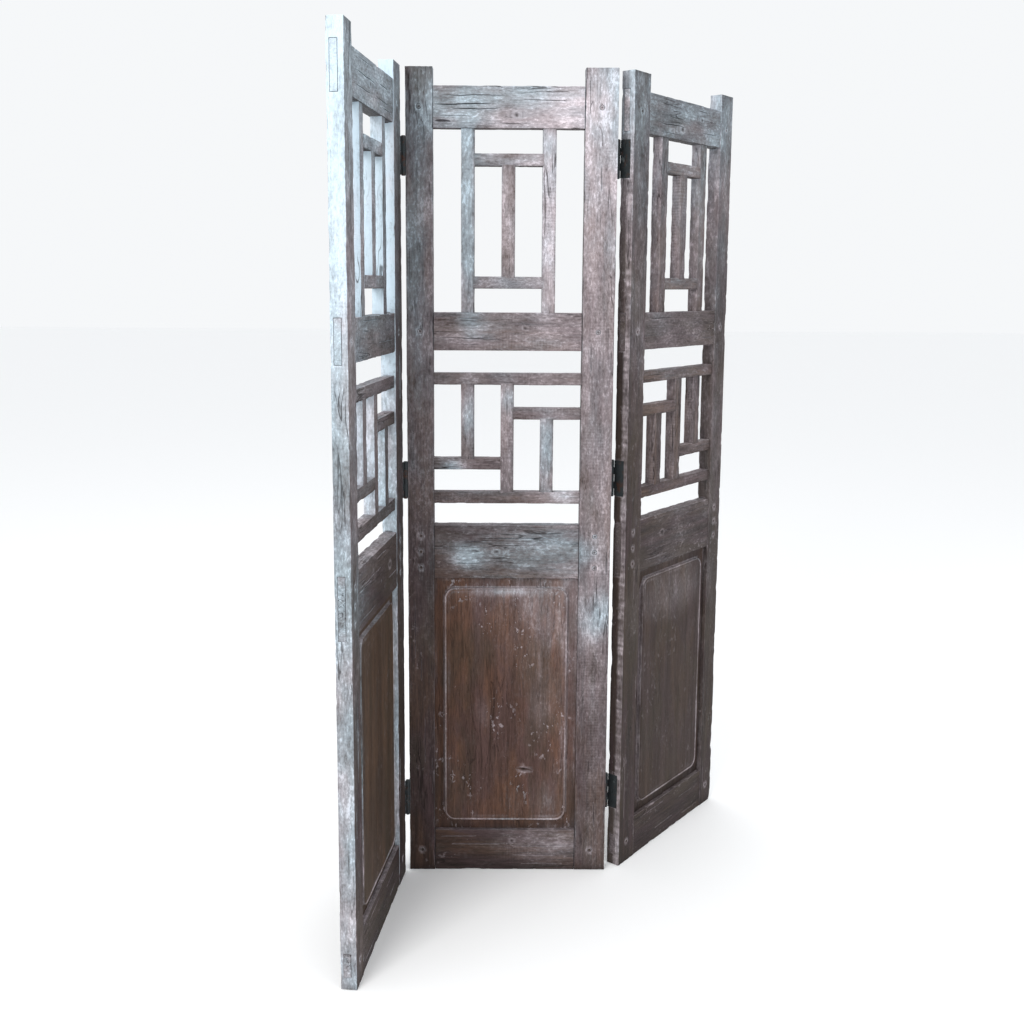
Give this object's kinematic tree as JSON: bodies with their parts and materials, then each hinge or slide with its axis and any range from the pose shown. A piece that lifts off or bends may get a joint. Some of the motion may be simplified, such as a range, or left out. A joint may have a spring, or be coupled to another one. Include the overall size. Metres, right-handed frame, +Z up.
{
  "type": "folding room divider screen",
  "caption": "Folding room screen of framed wooden leaves with open lattice fields above solid fielded panels, joined by butt hinges to stand in a zigzag.",
  "frame": {"origin": "middle of the centre leaf's underside, on the floor", "axes": "+Z up; the centre leaf's front faces -Y; the left leaf is on the -X side and swings forward, the right leaf is on the +X side and swings back"},
  "size_m": [0.8605, 0.8489, 1.8],
  "materials": {
    "centre_bar_wood": "worn whitewash over teak",
    "centre_frame_wood": "worn whitewash over teak",
    "centre_panel_wood": "worn teak with traces of whitewash",
    "hinge_iron": "aged black iron, slightly rusted",
    "left_bar_wood": "worn whitewash over teak",
    "left_frame_wood": "worn whitewash over teak",
    "left_panel_wood": "worn teak with traces of whitewash",
    "peg_wood": "worn, bare",
    "right_bar_wood": "worn whitewash over teak",
    "right_frame_wood": "worn whitewash over teak",
    "right_panel_wood": "worn teak with traces of whitewash"
  },
  "bodies": {
    "centre_leaf": {"centre_leaf_bottom_rail": "centre_frame_wood", "centre_leaf_field_panel": "centre_panel_wood", "centre_leaf_fret_bottom_bar": "centre_bar_wood", "centre_leaf_fret_centre_post": "centre_bar_wood", "centre_leaf_fret_high_bar": "centre_bar_wood", "centre_leaf_fret_low_bar": "centre_bar_wood", "centre_leaf_fret_short_posts": "centre_bar_wood", "centre_leaf_fret_top_bar": "centre_bar_wood", "centre_leaf_hinge_screws": "hinge_iron", "centre_leaf_left_hinge_pins": "hinge_iron", "centre_leaf_left_hinge_plates": "hinge_iron", "centre_leaf_left_stile": "centre_frame_wood", "centre_leaf_lock_rail": "centre_frame_wood", "centre_leaf_mid_rail": "centre_frame_wood", "centre_leaf_pegs": "peg_wood", "centre_leaf_right_hinge_pins": "hinge_iron", "centre_leaf_right_hinge_plates": "hinge_iron", "centre_leaf_right_stile": "centre_frame_wood", "centre_leaf_top_rail": "centre_frame_wood", "centre_leaf_window_centre_bar": "centre_bar_wood", "centre_leaf_window_cross_bars": "centre_bar_wood", "centre_leaf_window_side_bars": "centre_bar_wood"},
    "left_leaf": {"left_leaf_bottom_rail": "left_frame_wood", "left_leaf_field_panel": "left_panel_wood", "left_leaf_free_stile": "left_frame_wood", "left_leaf_fret_bottom_bar": "left_bar_wood", "left_leaf_fret_centre_post": "left_bar_wood", "left_leaf_fret_high_bar": "left_bar_wood", "left_leaf_fret_low_bar": "left_bar_wood", "left_leaf_fret_short_posts": "left_bar_wood", "left_leaf_fret_top_bar": "left_bar_wood", "left_leaf_hinge_plates": "hinge_iron", "left_leaf_hinge_screws": "hinge_iron", "left_leaf_hinge_stile": "left_frame_wood", "left_leaf_lock_rail": "left_frame_wood", "left_leaf_mid_rail": "left_frame_wood", "left_leaf_pegs": "peg_wood", "left_leaf_top_rail": "left_frame_wood", "left_leaf_window_centre_bar": "left_bar_wood", "left_leaf_window_cross_bars": "left_bar_wood", "left_leaf_window_side_bars": "left_bar_wood"},
    "right_leaf": {"right_leaf_bottom_rail": "right_frame_wood", "right_leaf_field_panel": "right_panel_wood", "right_leaf_free_stile": "right_frame_wood", "right_leaf_fret_bottom_bar": "right_bar_wood", "right_leaf_fret_centre_post": "right_bar_wood", "right_leaf_fret_high_bar": "right_bar_wood", "right_leaf_fret_low_bar": "right_bar_wood", "right_leaf_fret_short_posts": "right_bar_wood", "right_leaf_fret_top_bar": "right_bar_wood", "right_leaf_hinge_plates": "hinge_iron", "right_leaf_hinge_screws": "hinge_iron", "right_leaf_hinge_stile": "right_frame_wood", "right_leaf_lock_rail": "right_frame_wood", "right_leaf_mid_rail": "right_frame_wood", "right_leaf_pegs": "peg_wood", "right_leaf_top_rail": "right_frame_wood", "right_leaf_window_centre_bar": "right_bar_wood", "right_leaf_window_cross_bars": "right_bar_wood", "right_leaf_window_side_bars": "right_bar_wood"}
  },
  "joints": [
    {"name": "left hinge", "type": "hinge", "parent": "centre_leaf", "child": "left_leaf", "pos_m": [-0.22925, -0.0207, 0], "axis": [0, 0, 1], "range_deg": [-83, 97]},
    {"name": "right hinge", "type": "hinge", "parent": "centre_leaf", "child": "right_leaf", "pos_m": [0.22925, 0.0207, 0], "axis": [0, 0, 1], "range_deg": [-52, 128]}
  ]
}
